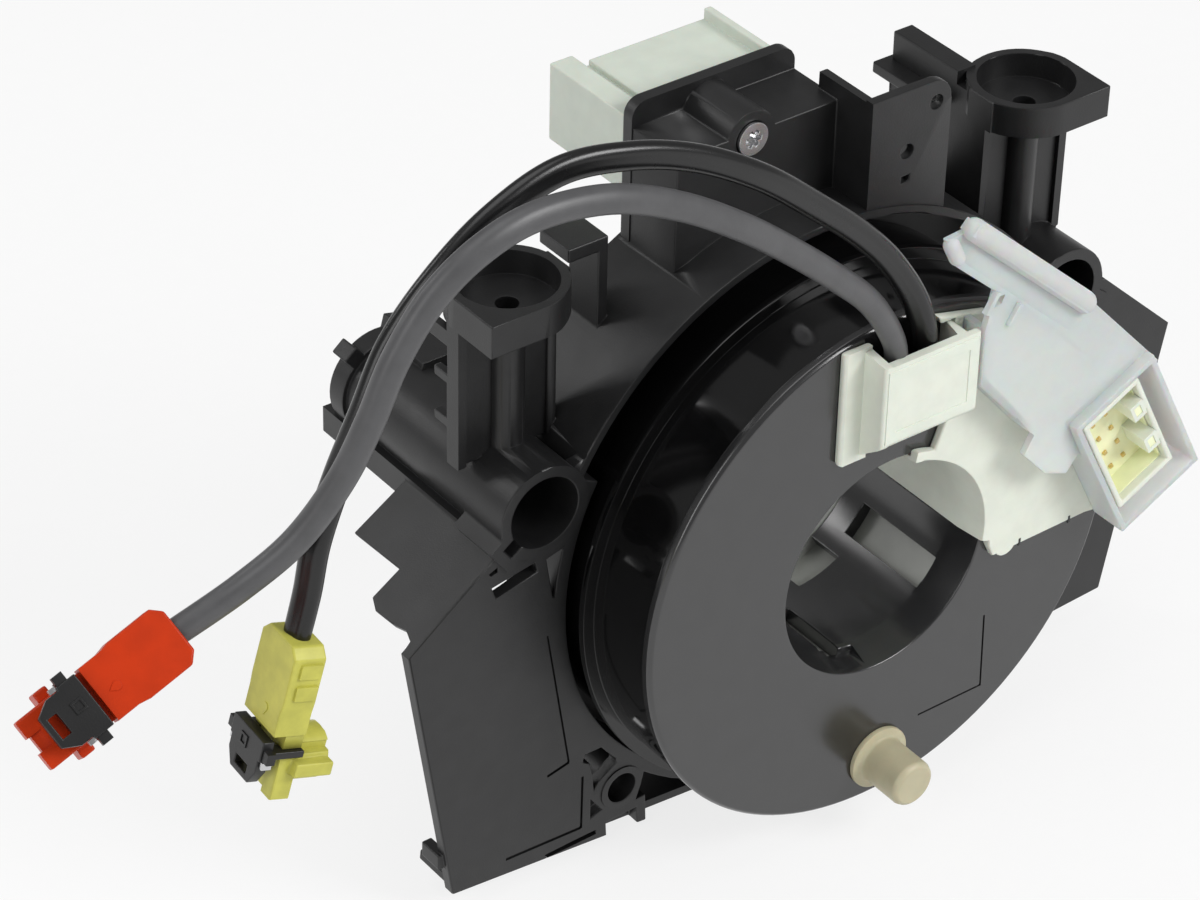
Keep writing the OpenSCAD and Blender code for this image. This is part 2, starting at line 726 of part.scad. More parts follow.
module lead(route, end_dir) {
    p = smooth(route);
    n = len(p);
    along = [for (i = [0:n - 1]) i == 0 ? [0, 0, 1] : i == n - 1 ? end_dir : p[i + 1] - p[i - 1]];
    rings = [for (i = [0:n - 1]) ring(p[i], along[i], lead_d / 2)];
    points = [for (loop = rings, q = loop) q];
    s = lead_sides;
    sides = [for (i = [0:n - 2], k = [0:s - 1], half = [0, 1])
        let (a = i * s + k, b = i * s + (k + 1) % s)
        half == 0 ? [a, b, b + s] : [a, b + s, a + s]];
    ends = [[for (k = [0:s - 1]) s - 1 - k], [for (k = [0:s - 1]) (n - 1) * s + k]];
    polyhedron(points, concat(sides, ends));
}

module grey_cord() {
    color("#606266") lead(grey_route, orange_dir);
}

module black_cord() {
    color("#17181a") lead(black_route, yellow_dir);
}

// Puts a plug at the end of its lead: +X runs to the nose and +Z is the wide face
module at_plug(at, dir, face) {
    x = unit(dir);
    y = unit(cross(face, x));
    z = cross(x, y);
    rows = [for (i = [0:2]) [x[i], y[i], z[i], at[i]]];
    multmatrix(concat(rows, [[0, 0, 0, 1]])) children();
}

module plug() {
    half = plug_w / 2;
    body_end = nose_x - 1;
    difference() {
        union() {
            translate([0, 0, -plug_t / 2]) linear_extrude(height = plug_t)
                polygon([[0, 1.6 - half], [1.6, -half], [waist_x, -half], [waist_x + 1.9, 0.4 - half],
                         [body_end, 0.4 - half], [body_end, half - 0.4], [waist_x + 1.9, half - 0.4],
                         [waist_x, half], [1.6, half], [0, half - 1.6]]);
            block([body_end - 1, -nose_w / 2, -plug_t / 2], [plug_len - 2.4, nose_w / 2, nose_top]);
            for (y = [-nose_w / 2, nose_w / 2 - 3])
                block([plug_len - 3, y, -plug_t / 2], [plug_len, y + 3, nose_top]);
            block([plug_len - 3, -1.4, -plug_t / 2], [plug_len - 0.6, 1.4, 0]);
            translate([barrel_x, 0, -plug_t / 2 - barrel_len]) cylinder(r = barrel_r, h = barrel_len + 1);
            for (y = [-1, 1]) translate([barrel_x, y * (barrel_r + 0.4), (1 - plug_t - barrel_len) / 2])
                cube([2.4, 2.4, barrel_len + 1], center = true);
        }
        for (y = [-1, 1]) translate([barrel_x, y * contact_x, -plug_t / 2 - barrel_len - 1])
            cylinder(r = contact_r + pin_fit, h = barrel_len);
        for (y = [-1, 1]) translate([leg_x, y * leg_y, 0])
            cube([leg[0] + 2 * pin_fit, leg[1] + 2 * pin_fit, plug_t * 3], center = true);
    }
}

module plug_contacts() {
    for (y = [-1, 1]) translate([barrel_x, y * contact_x, -plug_t / 2 - barrel_len]) difference() {
        cylinder(r = contact_r, h = barrel_len - 1);
        translate([0, 0, -1]) cylinder(r = contact_r - 0.25, h = barrel_len - 1);
    }
}

// Sliding lock, standing out by its travel above the plug's nose
module plug_lock() {
    bottom = nose_top + lock_gap;
    half = plug_w / 2 - 0.5;
    wing_x = nose_x + 3.4;
    end = plug_len - 2.6;
    difference() {
        translate([0, 0, bottom]) linear_extrude(height = lock_t)
            polygon([[nose_x, -half], [wing_x, -half], [wing_x, 0.5 - half], [end - 2.6, 0.5 - half],
                     [end, 2 - half], [end, half - 2], [end - 2.6, half - 0.5], [wing_x, half - 0.5],
                     [wing_x, half], [nose_x, half]]);
        block([end - 2.6, -1.8, bottom - 1], [end - 1, 1.8, bottom + lock_t + 1]);
    }
    for (y = [-1, 1]) translate([leg_x - leg[0] / 2, y * leg_y - leg[1] / 2, -plug_t / 2 - 0.2])
        cube([leg[0], leg[1], bottom + plug_t / 2 + 0.3]);
}

module orange_plug() {
    color("#cd3a18") at_plug(last(grey_route), orange_dir, orange_face) plug();
}

module orange_contacts() {
    color("#c7a24e") at_plug(last(grey_route), orange_dir, orange_face) plug_contacts();
}

module orange_lock() {
    color("#151617") at_plug(last(grey_route), orange_dir, orange_face) plug_lock();
}

module yellow_plug() {
    color("#cdcd5c") at_plug(last(black_route), yellow_dir, yellow_face) plug();
}

module yellow_contacts() {
    color("#c7a24e") at_plug(last(black_route), yellow_dir, yellow_face) plug_contacts();
}

module yellow_lock() {
    color("#151617") at_plug(last(black_route), yellow_dir, yellow_face) plug_lock();
}

housing();
cassette_case();
cassette_screws();
ribbon_cable();
rear_connector();
rear_terminals();
connector_screw();
rotor_disc();
hub_sleeve();
connector_base();
socket_terminals();
socket_cover();
cord_clip();
drive_pin();
grey_cord();
black_cord();
orange_plug();
orange_contacts();
orange_lock();
yellow_plug();
yellow_contacts();
yellow_lock();
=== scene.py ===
"""Steering clock spring: looks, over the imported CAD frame.

The world is in metres, with X along the screw towers, +Y to the back and +Z up. Sizes typed below are
in millimetres unless a comment says otherwise.
"""

import json
import math

import bmesh
import bpy
from mathutils import Matrix, Vector
from mathutils.bvhtree import BVHTree


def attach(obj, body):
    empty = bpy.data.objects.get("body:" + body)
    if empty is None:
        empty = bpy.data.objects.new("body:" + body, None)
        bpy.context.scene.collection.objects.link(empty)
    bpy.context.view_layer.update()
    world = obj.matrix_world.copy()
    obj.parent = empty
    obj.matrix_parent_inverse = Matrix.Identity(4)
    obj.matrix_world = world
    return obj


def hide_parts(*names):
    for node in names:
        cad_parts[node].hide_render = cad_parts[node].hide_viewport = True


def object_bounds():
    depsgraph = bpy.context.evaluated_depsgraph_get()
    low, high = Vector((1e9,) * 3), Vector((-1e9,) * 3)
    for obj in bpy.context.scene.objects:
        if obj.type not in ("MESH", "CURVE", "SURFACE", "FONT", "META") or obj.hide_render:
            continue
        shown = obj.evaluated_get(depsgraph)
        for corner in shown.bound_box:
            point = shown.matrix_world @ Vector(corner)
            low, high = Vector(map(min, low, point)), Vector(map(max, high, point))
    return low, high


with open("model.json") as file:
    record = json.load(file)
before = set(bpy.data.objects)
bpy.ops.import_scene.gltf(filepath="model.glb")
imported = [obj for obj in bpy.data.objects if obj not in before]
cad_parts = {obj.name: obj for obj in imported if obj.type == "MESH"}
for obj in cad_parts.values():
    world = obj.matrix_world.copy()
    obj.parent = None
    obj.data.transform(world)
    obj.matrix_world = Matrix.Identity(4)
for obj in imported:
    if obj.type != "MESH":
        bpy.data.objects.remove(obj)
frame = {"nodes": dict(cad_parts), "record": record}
CAD_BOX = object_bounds()
NODES = frame["nodes"]
MM = 0.001

# Camera of the photograph: turn, height and roll in degrees, distance in mm, focal length in pixels
CAM_TURN, CAM_HEIGHT, CAM_ROLL = -37.44, 35.34, 1.30
CAM_DISTANCE, CAM_FOCAL = 715.3, 4251
PHOTO_W, PHOTO_H = 1200, 900
ORIGIN_PIXEL = (885.6, 563.9)
SENSOR_WIDTH = 36
NEAREST_SEEN = 10


def camera_axes():
    """The camera's right, up and backward directions."""
    a, e, r = (math.radians(v) for v in (CAM_TURN, CAM_HEIGHT, CAM_ROLL))
    back = Vector((math.sin(a) * math.cos(e), -math.cos(a) * math.cos(e), math.sin(e)))
    right = (-back).cross(Vector((0, 0, 1))).normalized()
    up = right.cross(-back)
    return (
        math.cos(r) * right + math.sin(r) * up,
        math.cos(r) * up - math.sin(r) * right,
        back,
    )


def make_camera():
    """Places the camera so that the world's origin falls on its pixel of the photograph."""
    right, up, back = camera_axes()
    tx = (ORIGIN_PIXEL[0] - PHOTO_W / 2) / CAM_FOCAL * CAM_DISTANCE
    ty = -(ORIGIN_PIXEL[1] - PHOTO_H / 2) / CAM_FOCAL * CAM_DISTANCE
    place = (-tx * right - ty * up + CAM_DISTANCE * back) * MM
    data = bpy.data.cameras.new("camera")
    data.sensor_width = SENSOR_WIDTH
    data.lens = CAM_FOCAL * data.sensor_width / PHOTO_W
    data.clip_start = NEAREST_SEEN * MM
    cam = bpy.data.objects.new("camera", data)
    turn = Matrix((right, up, back)).transposed().to_4x4()
    cam.matrix_world = Matrix.Translation(place) @ turn
    bpy.context.scene.collection.objects.link(cam)
    bpy.context.scene.camera = cam


make_camera()


# Materials. A noise has a size in mm and a detail. Bump heights and subsurface scales are in metres.
CLOUD = (4.0, 4)
PATCHES = (7.0, 3)
WAVES = (9.0, 1)
GRAIN_DETAIL = 2
GLOSS_SPREAD = 0.12
GRAIN_HEIGHT = 0.00006
WAVE_HEIGHT = 0.0004
RAMP_LOW, RAMP_HIGH = 0.35, 0.65


class Paint:
    """A Principled material with mottled colour, uneven gloss and a fine moulded grain."""

    def __init__(self, name, colour, rough, mottle, grain=0.0, grain_size=0.35, wave=0.0, **sockets):
        mat = bpy.data.materials.new(name)
        mat.use_nodes = True
        self.mat = mat
        self.nodes = mat.node_tree.nodes
        self.links = mat.node_tree.links
        self.bsdf = self.nodes["Principled BSDF"]
        for key, value in sockets.items():
            self.bsdf.inputs[key.replace("_", " ")].default_value = value
        self.coords = self.nodes.new("ShaderNodeTexCoord").outputs["Object"]
        dark = [c * (1 - mottle) for c in colour] + [1]
        light = [min(1, c * (1 + mottle)) for c in colour] + [1]
        self.links.new(self.ramp(self.noise(*CLOUD), dark, light), self.bsdf.inputs["Base Color"])
        gloss = self.span(self.noise(*PATCHES), rough * (1 - GLOSS_SPREAD), rough * (1 + GLOSS_SPREAD))
        self.links.new(gloss, self.bsdf.inputs["Roughness"])
        height = None
        if grain:
            height = self.bump(self.noise(grain_size, GRAIN_DETAIL), grain, GRAIN_HEIGHT)
        if wave:
            height = self.bump(self.noise(*WAVES), wave, WAVE_HEIGHT, height)
        if height:
            self.links.new(height, self.bsdf.inputs["Normal"])

    def noise(self, size_mm, detail):
        n = self.nodes.new("ShaderNodeTexNoise")
        n.inputs["Scale"].default_value = 1 / (size_mm * MM)
        n.inputs["Detail"].default_value = detail
        self.links.new(self.coords, n.inputs["Vector"])
        return n.outputs["Fac"]

    def ramp(self, fac, a, b):
        r = self.nodes.new("ShaderNodeValToRGB")
        r.color_ramp.elements[0].position = RAMP_LOW
        r.color_ramp.elements[1].position = RAMP_HIGH
        r.color_ramp.elements[0].color = a
        r.color_ramp.elements[1].color = b
        self.links.new(fac, r.inputs["Fac"])
        return r.outputs["Color"]

    def span(self, fac, low, high):
        m = self.nodes.new("ShaderNodeMapRange")
        m.inputs["To Min"].default_value = low
        m.inputs["To Max"].default_value = min(1, high)
        self.links.new(fac, m.inputs["Value"])
        return m.outputs["Result"]

    def bump(self, fac, strength, distance, under=None):
        b = self.nodes.new("ShaderNodeBump")
        b.inputs["Strength"].default_value = strength
        b.inputs["Distance"].default_value = distance
        self.links.new(fac, b.inputs["Height"])
        if under:
            self.links.new(under, b.inputs["Normal"])
        return b.outputs["Normal"]


def grey(v):
    """A grey with a trace of blue."""
    return (v, v, v * 1.04)


SKIN = {"Subsurface_Weight": 0.12, "Subsurface_Scale": 0.002}
FROST = {"Transmission_Weight": 0.52, "IOR": 1.3, "Subsurface_Weight": 0.5, "Subsurface_Scale": 0.003}
METAL = {"Metallic": 1.0}
PAINTS = {
    "housing": Paint("housing_black", grey(0.0105), 0.42, 0.14, grain=0.35, grain_size=0.3),
    "drum": Paint("drum_black", grey(0.004), 0.1, 0.1, wave=0.05),
    "disc": Paint(
        "disc_black", grey(0.018), 0.2, 0.08, grain=0.08, grain_size=0.25, Specular_IOR_Level=0.85
    ),
    "hub": Paint("hub_white", (0.5, 0.51, 0.48), 0.45, 0.04),
    "ivory": Paint("ivory_white", (0.72, 0.75, 0.66), 0.4, 0.03, grain=0.08, **SKIN),
    "shell": Paint("shell_white", (0.62, 0.67, 0.59), 0.4, 0.03, grain=0.08, **SKIN),
    "cover": Paint("frosted_cover", (0.93, 0.95, 0.94), 0.3, 0.02, **FROST),
    "socket": Paint("socket_cream", (0.9, 0.9, 0.6), 0.45, 0.04, **SKIN),
    "pin": Paint("pin_cream", (0.5, 0.46, 0.31), 0.45, 0.05, grain=0.1, **SKIN),
    "orange": Paint("plug_orange", (0.5, 0.032, 0.002), 0.4, 0.06, grain=0.12, Specular_IOR_Level=0.2),
    "yellow": Paint("plug_yellow", (0.52, 0.5, 0.09), 0.38, 0.1, grain=0.12, Specular_IOR_Level=0.35),
    "lock": Paint("lock_black", grey(0.008), 0.38, 0.1, grain=0.25),
    "zinc": Paint("zinc", (0.62, 0.62, 0.63), 0.24, 0.06, **METAL),
    "brass": Paint("brass", (0.7, 0.52, 0.22), 0.3, 0.06, **METAL),
    "grey_sheath": Paint("grey_sheath", grey(0.075), 0.42, 0.08, grain=0.25, grain_size=0.5),
    "black_sheath": Paint("black_sheath", grey(0.006), 0.27, 0.1, grain=0.1),
    "ribbon": Paint("ribbon_film", (0.05, 0.05, 0.06), 0.25, 0.1),
}
BODY = {n: body for body, members in frame["record"]["behaviour"]["bodies"].items() for n in members}

# Angles in degrees above which an edge is shaded sharp, and the strength of the evened normals
SHARP_MOULDED, SHARP_TRIM, SHARP_SWEPT = 32, 40, 60
EVEN_WEIGHT = 80


def add(name, mesh, paint, node, sharp):
    """Links a piece with its material, and with the body of the node it belongs to."""
    obj = bpy.data.objects.new(name, mesh)
    bpy.context.scene.collection.objects.link(obj)
    mesh.materials.clear()
    mesh.materials.append(PAINTS[paint].mat)
    mesh.shade_smooth()
    mesh.set_sharp_from_angle(angle=math.radians(sharp))
    even = obj.modifiers.new("even_normals", "WEIGHTED_NORMAL")
    even.keep_sharp = True
    even.weight = EVEN_WEIGHT
    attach(obj, BODY[node])
    return obj


def from_bmesh(name, bm):
    """Turns a bmesh into a mesh with its faces outwards."""
    bm.normal_update()
    bmesh.ops.recalc_face_normals(bm, faces=bm.faces)
    mesh = bpy.data.meshes.new(name)
    bm.to_mesh(mesh)
    bm.free()
    return mesh


# The two sheathed leads, on the routes of part.scad
LEAD_Y, LEAD_Z = -2.8, 32.3
GREY_ROUTE = [
    (-3.4, LEAD_Y, LEAD_Z), (-3.4, LEAD_Y, 44), (-6, -4, 51), (-12, -5, 60), (-20, -6, 68), (-30, -7, 77),
    (-41, -8, 86), (-53, -8, 94), (-66, -8, 100), (-79, -8, 102), (-89, -8, 100), (-97, -7, 94),
    (-103, -6, 85), (-107, -5, 75), (-111, -3, 65), (-117, 0, 55), (-125, 3, 48), (-135, 5, 43),
]
BLACK_ROUTE = [
    (2.6, LEAD_Y, LEAD_Z), (2.6, LEAD_Y, 44), (0, -3, 54), (-6, -3, 64), (-13, -3, 72), (-23, -3, 81),
    (-34, -3, 90), (-46, -2, 97), (-58, -1, 101), (-70, 0, 102), (-82, 0, 98), (-92, 0, 91), (-99, 1, 82),
    (-104, 1, 72), (-108, 2, 62), (-112, 2, 52), (-114, 2, 43), (-116, 2, 36),
]
ORANGE_DIR, ORANGE_FACE = (-10, 0, -4), (-4, -7, 6)
YELLOW_DIR, YELLOW_FACE = (-3, 0, -10), (-10, 1, 3)
STEPS_PER_SPAN = 10
SHEATH_SIDES = 28
GROOVE_SHARPNESS = 8
TOWARDS_DRIVER = (0, -1, 0)
UPWARDS = (0, 0, 1)


def smooth_route(route):
    """Points of the same smooth curve as in part.scad, in metres."""
    p = [Vector(q) * MM for q in route]
    out = []
    for i in range(len(p) - 1):
        a, b, c, d = p[max(i - 1, 0)], p[i], p[i + 1], p[min(i + 2, len(p) - 1)]
        for k in range(STEPS_PER_SPAN):
            t = k / STEPS_PER_SPAN
            linear = (c - a) * t
            square = (2 * a - 5 * b + 4 * c - d) * t * t
            cube = (3 * b - a - 3 * c + d) * t ** 3
            out.append(0.5 * (2 * b + linear + square + cube))
    return out + [p[-1]]


def sweep(name, path, section, first_dir, last_dir):
    """A closed tube: section(t) gives the ring's 2-D points, t from 0 to 1 along the path."""
    bm = bmesh.new()
    up = Vector(TOWARDS_DRIVER)
    last = len(path) - 1
    rings = []
    for i, at in enumerate(path):
        if i == 0:
            along = Vector(first_dir).normalized()
        elif i == last:
            along = Vector(last_dir).normalized()
        else:
            along = (path[i + 1] - path[i - 1]).normalized()
        up = (up - along * up.dot(along)).normalized()
        side = along.cross(up)
        rings.append([bm.verts.new(at + side * u + up * v) for u, v in section(i / last)])
    n = len(rings[0])
    for a, b in zip(rings, rings[1:]):
        for k in range(n):
            bm.faces.new((a[k], a[(k + 1) % n], b[(k + 1) % n], b[k]))
    bm.faces.new(rings[0][::-1])
    bm.faces.new(rings[-1])
    return from_bmesh(name, bm)


def lobed(wide, high, groove, first_turn, last_turn):
    """A sheath's section: two half widths, a groove on two sides, and its turn in radians at each end."""

    def section(t):
        turn = first_turn + (last_turn - first_turn) * t
        out = []
        for k in range(SHEATH_SIDES):
            a = 2 * math.pi * k / SHEATH_SIDES
            r = (1 - groove * math.cos(a) ** GROOVE_SHARPNESS) * MM
            x, y = high * r * math.cos(a), wide * r * math.sin(a)
            out.append((x * math.cos(turn) - y * math.sin(turn), x * math.sin(turn) + y * math.cos(turn)))
        return out

    return section


def lead(name, node, route, end_dir, paint, section):
    """A sheathed lead in place of its CAD cord."""
    path = smooth_route(route)
    obj = add(name, sweep(name, path, section, UPWARDS, end_dir), paint, node, SHARP_SWEPT)
    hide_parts(node)


# Each CAD solid's paint, and how far its edges are rounded
FINISH = {
    "housing": ("housing", 0.3),
    "cassette_case": ("drum", 0.25),
    "cassette_screws": ("zinc", 0.15),
    "rear_connector": ("shell", 0.3),
    "connector_screw": ("zinc", 0.12),
    "rotor_disc": ("disc", 0.25),
    "hub_sleeve": ("hub", 0.3),
    "connector_base": ("ivory", 0.4),
    "socket_cover": ("cover", 0.3),
    "cord_clip": ("ivory", 0.6),
    "drive_pin": ("pin", 0.25),
    "orange_plug": ("orange", 0.35),
    "orange_lock": ("lock", 0.2),
    "yellow_plug": ("yellow", 0.35),
    "yellow_lock": ("lock", 0.2),
    "rear_terminals": ("brass", 0.1),
    "socket_terminals": ("brass", 0.1),
    "ribbon_cable": ("ribbon", 0),
    "orange_contacts": ("brass", 0.05),
    "yellow_contacts": ("brass", 0.05),
}
BEVEL = {"offset_type": "OFFSET", "segments": 2, "profile": 0.6, "affect": "EDGES"}
EDGE_ANGLE = math.radians(35)
FLAT_ANGLE = math.radians(0.6)
MERGE = 0.002 * MM
TRIES = 8
# An edge is rounded where both its faces are this many roundings wide
ROOM = 2.4
# A fold lies this far off the solid, or its normal's product with the solid's is below this
OFF_SOLID = 0.4 * MM
AGAINST_SOLID = -0.2
# Twice the area, in square metres, of a triangle too thin to judge
THIN = 1e-7


def across(face, edge):
    """How wide a face is, measured square to one of its edges."""
    start = edge.verts[0].co
    side = face.normal.cross((edge.verts[1].co - start).normalized())
    reach = [(v.co - start).dot(side) for v in face.verts]
    return max(reach) - min(reach)


def sharp_edges(bm, size, avoid, near):
    """Edges to round: sharp, between faces wide enough for it, and away from the corners to avoid."""
    return [
        e for e in bm.edges
        if e.calc_face_angle(0) > EDGE_ANGLE
        and min(across(f, e) for f in e.link_faces) > ROOM * size
        and not any((v.co - p).length < near for v in e.verts for p in avoid)
    ]


def folds(bm, solid):
    """Corners of the triangles that lie off the CAD solid or face against it."""
    bad = []
    for tri in bm.calc_loop_triangles():
        a, b, c = (loop.vert.co for loop in tri)
        cross = (b - a).cross(c - a)
        if cross.length < THIN:
            continue
        _, normal, _, gap = solid.find_nearest((a + b + c) / 3)
        if gap > OFF_SOLID or cross.normalized().dot(normal) < AGAINST_SOLID:
            bad += [a.copy(), b.copy(), c.copy()]
    return bad


def plain_copy(node):
    """A CAD solid as a bmesh, with the triangles of each flat face joined."""
    bm = bmesh.new()
    bm.from_mesh(NODES[node].data)
    bmesh.ops.remove_doubles(bm, verts=bm.verts, dist=MERGE)
    bmesh.ops.dissolve_limit(
        bm, angle_limit=FLAT_ANGLE, use_dissolve_boundaries=False, verts=bm.verts, edges=bm.edges
    )
    bm.normal_update()
    return bm


def rounded(node, width):
    """A copy of a CAD solid with rounded edges.

    Edges near a corner where the rounding folds are left sharp in the next try, further out each time.
    """
    size = width * MM
    bm = plain_copy(node)
    avoid = []
    for attempt in range(1, TRIES + 1 if width else 1):
        if attempt > 1:
            bm.free()
            bm = plain_copy(node)
        solid = BVHTree.FromBMesh(bm)
        edges = sharp_edges(bm, size, avoid, attempt * size)
        bmesh.ops.bevel(
            bm, geom=edges, offset=size, clamp_overlap=False, miter_outer="SHARP", miter_inner="SHARP",
            **BEVEL,
        )
        found = folds(bm, solid)
        if not found:
            break
        avoid += found
    mesh = bpy.data.meshes.new(node)
    bm.to_mesh(mesh)
    bm.free()
    return mesh


for node, (paint, width) in FINISH.items():
    piece = add(node + "_moulded", rounded(node, width), paint, node, SHARP_MOULDED)
    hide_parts(node)

lead(
    "grey_lead", "grey_cord", GREY_ROUTE, ORANGE_DIR, "grey_sheath", lobed(2.32, 2.1, 0.07, 0.5, 1.5),
)
lead(
    "black_lead", "black_cord", BLACK_ROUTE, YELLOW_DIR, "black_sheath", lobed(2.34, 1.8, 0.2, 2.6, 0.3),
)


# Small pieces in a frame of their own: x and y across, z up from the face they sit on
def turned(degrees):
    return Matrix.Rotation(math.radians(degrees), 4, "Z")


FRONT = Matrix(((1, 0, 0, 0), (0, 0, -1, 0), (0, 1, 0, 0), (0, 0, 0, 1)))
SOCKET = FRONT @ Matrix.Translation((45.8, 11.2, 0)) @ turned(27)
# Upper edges sharper than this, in radians, are softened
TRIM_EDGE_ANGLE = 0.5
SAME_HEIGHT = 1e-6
CAPSULE_STEPS, CAPSULE_SIDES = 6, 20
# The first and last ring of a capsule, as a share of its radius
CAPSULE_TIP = 0.03


def plug_frame(at, towards, face):
    """The frame of a plug: x to its nose and z out of its wide face, as in part.scad."""
    x = Vector(towards).normalized()
    y = Vector(face).cross(x).normalized()
    turn = Matrix((x, y, x.cross(y))).transposed().to_4x4()
    return Matrix.Translation(at) @ turn


def rectangle(x, y, wide, high):
    """The corners of a rectangle about (x, y)."""
    return [(x + i * wide / 2, y + j * high / 2) for i, j in ((-1, -1), (1, -1), (1, 1), (-1, 1))]


def arc(x, y, radius, start, end, steps):
    """Points on an arc about (x, y), angles in degrees."""
    angles = [math.radians(start + (end - start) * k / steps) for k in range(steps + 1)]
    return [(x + radius * math.cos(a), y + radius * math.sin(a)) for a in angles]


def raised(name, outline, low, high, place, paint, node, edge=0.15, hole=None):
    """A flat piece with softened upper edges, and with a hole of as many points if one is given."""
    bm = bmesh.new()
    loops = {}
    for key, points in (("out", outline), ("in", hole)):
        if points:
            for z in (low, high):
                loops[key, z] = [bm.verts.new((x, y, z)) for x, y in points]
    n = len(outline)

    def band(a, b):
        for k in range(n):
            bm.faces.new((a[k], a[(k + 1) % n], b[(k + 1) % n], b[k]))

    band(loops["out", low], loops["out", high])
    if hole:
        band(loops["in", low], loops["in", high])
        for z in (low, high):
            band(loops["out", z], loops["in", z])
    else:
        bm.faces.new(loops["out", low])
        bm.faces.new(loops["out", high])
    bm.normal_update()
    bmesh.ops.recalc_face_normals(bm, faces=bm.faces)
    top = [
        e for e in bm.edges
        if all(v.co.z > high - SAME_HEIGHT for v in e.verts) and e.calc_face_angle(0) > TRIM_EDGE_ANGLE
    ]
    bmesh.ops.bevel(bm, geom=top, offset=edge, **BEVEL)
    bm.transform(Matrix.Scale(MM, 4) @ place)
    add(name, from_bmesh(name, bm), paint, node, SHARP_TRIM)


def capsule(name, a, b, radius, flat, paint, node):
    """A bar with round ends between two points, flattened towards the rotor's face."""
    a, b = Vector(a) * MM, Vector(b) * MM
    along = (b - a).normalized()
    r = radius * MM
    turns = [math.pi / 2 * k / CAPSULE_STEPS for k in range(CAPSULE_STEPS + 1)]
    path = [a - along * r * math.cos(w) for w in turns] + [b + along * r * math.sin(w) for w in turns]
    size = [max(CAPSULE_TIP, math.sin(w)) for w in turns] + [max(CAPSULE_TIP, math.cos(w)) for w in turns]

    def section(t):
        f = size[round(t * (len(path) - 1))] * r
        angles = [2 * math.pi * k / CAPSULE_SIDES for k in range(CAPSULE_SIDES)]
        return [(f * math.cos(w), flat * f * math.sin(w)) for w in angles]

    add(name, sweep(name, path, section, along, along), paint, node, SHARP_SWEPT)


# Bars on the frosted cover: both ends, radius, and height as a share of the width
COVER_BARS = {
    "cover_rolled_edge": ((7.2, -7.3, 67.7), (33.4, -7.3, 44.1), 2.0, 1.0),
    "cover_swell": ((8.6, -6.5, 63.2), (31.6, -6.5, 42.4), 3.8, 0.21),
    "cover_knuckle": ((3.0, -6.8, 66.0), (4.4, -6.8, 63.2), 1.4, 1.0),
}
for name, (start, end, radius, flat) in COVER_BARS.items():
    capsule(name, start, end, radius, flat, "cover", "socket_cover")

# Two small ribs on the cover
RIB = rectangle(0, 0, 0.9, 4.2)
RIB_LOW, RIB_HIGH = 6.8, 7.9
RIB_TURN = -32
for k, (x, z) in enumerate(((12.3, 51.8), (17.6, 47.6))):
    place = FRONT @ Matrix.Translation((x, z, 0)) @ turned(RIB_TURN)
    raised(f"cover_rib_{k}", RIB, RIB_LOW, RIB_HIGH, place, "cover", "socket_cover")

# Socket: its floor, its cream lining and two hollow key posts that start just under the floor's face
LINING, LINING_HOLE = rectangle(0, 0, 10.9, 21.3), rectangle(0, 0, 10.3, 20.7)
SOCKET_BACK, SOCKET_FLOOR, LINING_TOP = 1.65, 3.6, 7.4
IN_FLOOR = 3.5
KEY_X, KEY_TOP, KEY_FLOOR = 4.0, 9.25, 9.05
raised("socket_floor", LINING, SOCKET_BACK, SOCKET_FLOOR, SOCKET, "socket", "connector_base", 0.05)
raised(
    "socket_lining", LINING, IN_FLOOR, LINING_TOP, SOCKET, "socket", "connector_base", 0.1, LINING_HOLE
)
for k, y in enumerate((-3.7, 5.3)):
    post, bore = rectangle(KEY_X, y, 2.8, 3.8), rectangle(KEY_X, y, 1.4, 2.2)
    raised(f"socket_key_{k}", post, IN_FLOOR, KEY_TOP, SOCKET, "ivory", "connector_base", 0.1, bore)
    raised(f"socket_key_floor_{k}", bore, IN_FLOOR, KEY_FLOOR, SOCKET, "socket", "connector_base", 0.02)

# Soft border on the face of the clip
CLIP_FACE = 6.7
BORDER_SUNK, BORDER_PROUD = 0.4, 0.2
raised(
    "clip_border", rectangle(1.25, 38.65, 18.9, 14.1), CLIP_FACE - BORDER_SUNK, CLIP_FACE + BORDER_PROUD,
    FRONT, "ivory", "cord_clip", 0.19, rectangle(1.5, 38.6, 15.0, 10.2),
)

# Notches in the lower edge of the carrier plate, as painted shade: dark slips just proud of its face
# stand in for the shade inside the notches
NOTCH_LOW, NOTCH_HIGH = 1.3, 1.63
for k, x in enumerate((29.2, 40.6)):
    notch_shade = rectangle(x, -6.9, 0.5, 1.5)
    raised(f"carrier_notch_shade_{k}", notch_shade, NOTCH_LOW, NOTCH_HIGH, FRONT, "housing", "connector_base", 0.02)


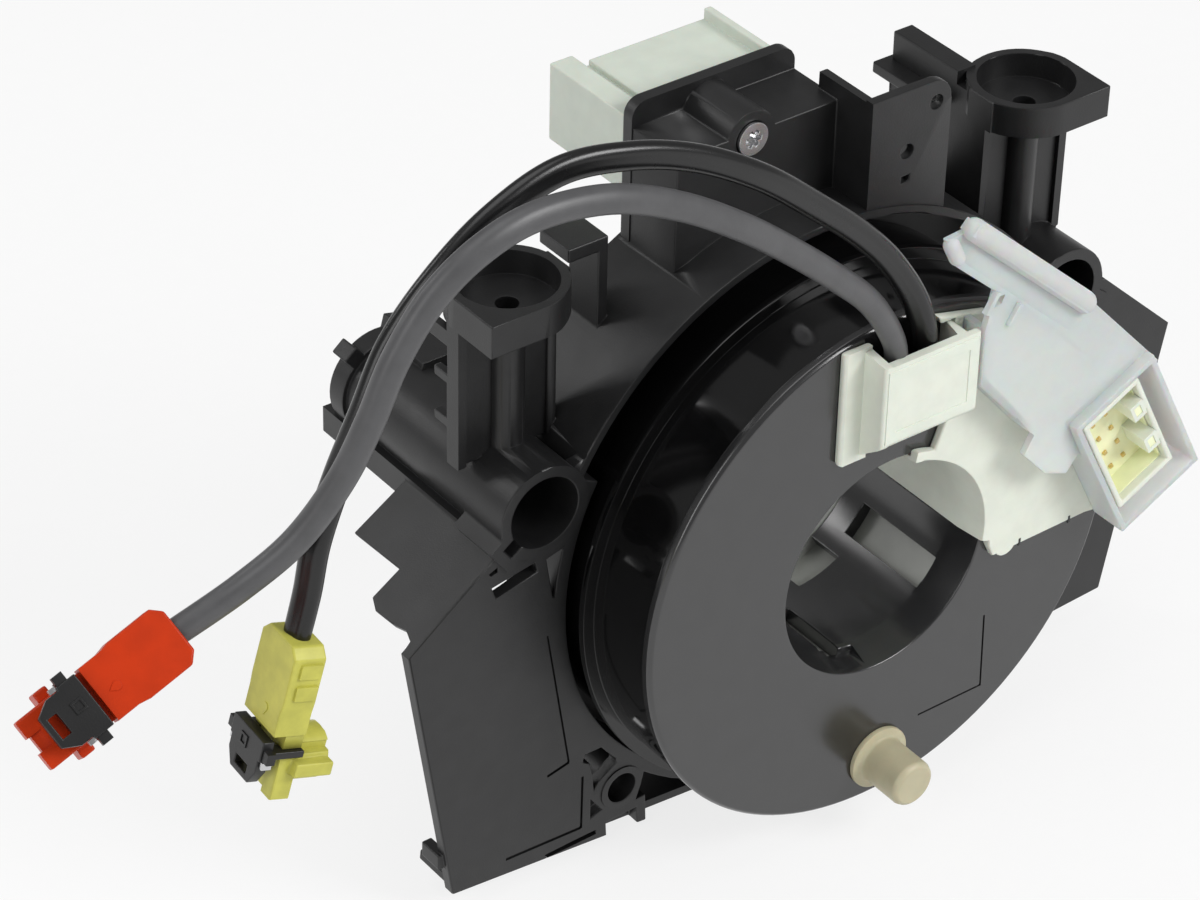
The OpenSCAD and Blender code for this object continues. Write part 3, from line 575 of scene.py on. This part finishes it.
def plug_details(name, route, towards, face, pads):
    """Marks and small parts of a squib plug, in part.scad's plug frame."""
    place = plug_frame(route[-1], towards, face)
    plug, lock = name + "_plug", name + "_lock"
    drop = arc(12.2, 0.6, 0.75, 60, 300, 8) + [(13.6, 0.6)]
    raised(plug + "_mark", drop, 2.7, 2.95, place, name, plug, 0.08)
    ring, ring_hole = rectangle(0, 0, 2.0, 2.0), rectangle(0, 0, 1.2, 1.2)
    ring_place = place @ Matrix.Translation((18.6, -0.6, 0))
    raised(lock + "_ring", ring, 4.25, 4.5, ring_place, "lock", lock, 0.08, ring_hole)
    for side, tag in ((-1, "right"), (1, "left")):
        for k, x in enumerate(pads):
            pad = rectangle(x, side * 5.1, 2.4, 1.0)
            raised(f"{plug}_pad_{k}_{tag}", pad, -2.3, 1.4, place, name, plug)
        ear = rectangle(18.4, side * 5.0, 1.9, 2.4)
        raised(f"{lock}_ear_{tag}", ear, 2.5, 4.0, place, "lock", lock)
        spring = rectangle(20.2, side * 4.7, 1.2, 0.8)
        raised(f"{lock}_spring_{tag}", spring, 2.2, 3.9, place, "zinc", lock, 0.1)


plug_details("orange", GREY_ROUTE, ORANGE_DIR, ORANGE_FACE, ())
plug_details("yellow", BLACK_ROUTE, YELLOW_DIR, YELLOW_FACE, (3.6, 7.4))


# Floor and lights, in metres and watts
FLOOR_SIZE, FLOOR_GAP = 20, 0.0005
FLOOR_GLOW = 0.8
WORLD_STRENGTH = 0.3
LAMPS = {
    "front_softbox": ((0.5, -0.85, 0.75), (0.6, 0.5), 10.5),
    "top_softbox": ((-0.15, 0.1, 1.0), (0.7, 0.7), 2.6),
    "left_softbox": ((-0.9, -0.25, 0.45), (0.4, 0.7), 2.6),
    "back_softbox": ((-0.62, 0.78, 0.5), (0.22, 0.5), 1.6),
}


def floor_material():
    """A pale floor that stays white to the camera and in reflections, and keeps a soft shadow."""
    paint = Paint("studio_floor", (0.84, 0.84, 0.84), 0.8, 0.01)
    nodes, links = paint.nodes, paint.links
    seen = nodes.new("ShaderNodeLightPath")
    rays = [seen.outputs[f"Is {kind} Ray"] for kind in ("Camera", "Glossy", "Transmission")]
    total = rays[0]
    for ray in rays[1:]:
        larger = nodes.new("ShaderNodeMath")
        larger.operation = "MAXIMUM"
        links.new(total, larger.inputs[0])
        links.new(ray, larger.inputs[1])
        total = larger.outputs[0]
    share = nodes.new("ShaderNodeMath")
    share.operation = "MULTIPLY"
    share.inputs[1].default_value = FLOOR_GLOW
    links.new(total, share.inputs[0])
    glow = nodes.new("ShaderNodeEmission")
    glow.inputs["Strength"].default_value = 1.0
    mix = nodes.new("ShaderNodeMixShader")
    links.new(share.outputs[0], mix.inputs["Fac"])
    links.new(paint.bsdf.outputs["BSDF"], mix.inputs[1])
    links.new(glow.outputs["Emission"], mix.inputs[2])
    links.new(mix.outputs["Shader"], nodes["Material Output"].inputs["Surface"])
    return paint.mat


def make_floor():
    """A floor just under the part's lowest point."""
    low = CAD_BOX[0][2] - FLOOR_GAP
    bpy.ops.mesh.primitive_plane_add(size=FLOOR_SIZE, location=(0, 0, low))
    floor = bpy.context.object
    floor.name = "floor"
    floor.data.materials.append(floor_material())


def area(name, place, size, power):
    """A soft lamp that looks at the part."""
    data = bpy.data.lights.new(name, "AREA")
    data.shape = "RECTANGLE"
    data.size, data.size_y = size
    data.energy = power
    lamp = bpy.data.objects.new(name, data)
    lamp.location = place
    lamp.rotation_euler = (-Vector(place)).to_track_quat("-Z", "Y").to_euler()
    bpy.context.scene.collection.objects.link(lamp)


make_floor()
for name, (place, size, power) in LAMPS.items():
    area(name, place, size, power)

world = bpy.data.worlds.new("studio")
world.use_nodes = True
world.node_tree.nodes["Background"].inputs["Color"].default_value = (1, 1, 1, 1)
world.node_tree.nodes["Background"].inputs["Strength"].default_value = WORLD_STRENGTH
bpy.context.scene.world = world
bpy.context.scene.view_settings.view_transform = "Standard"
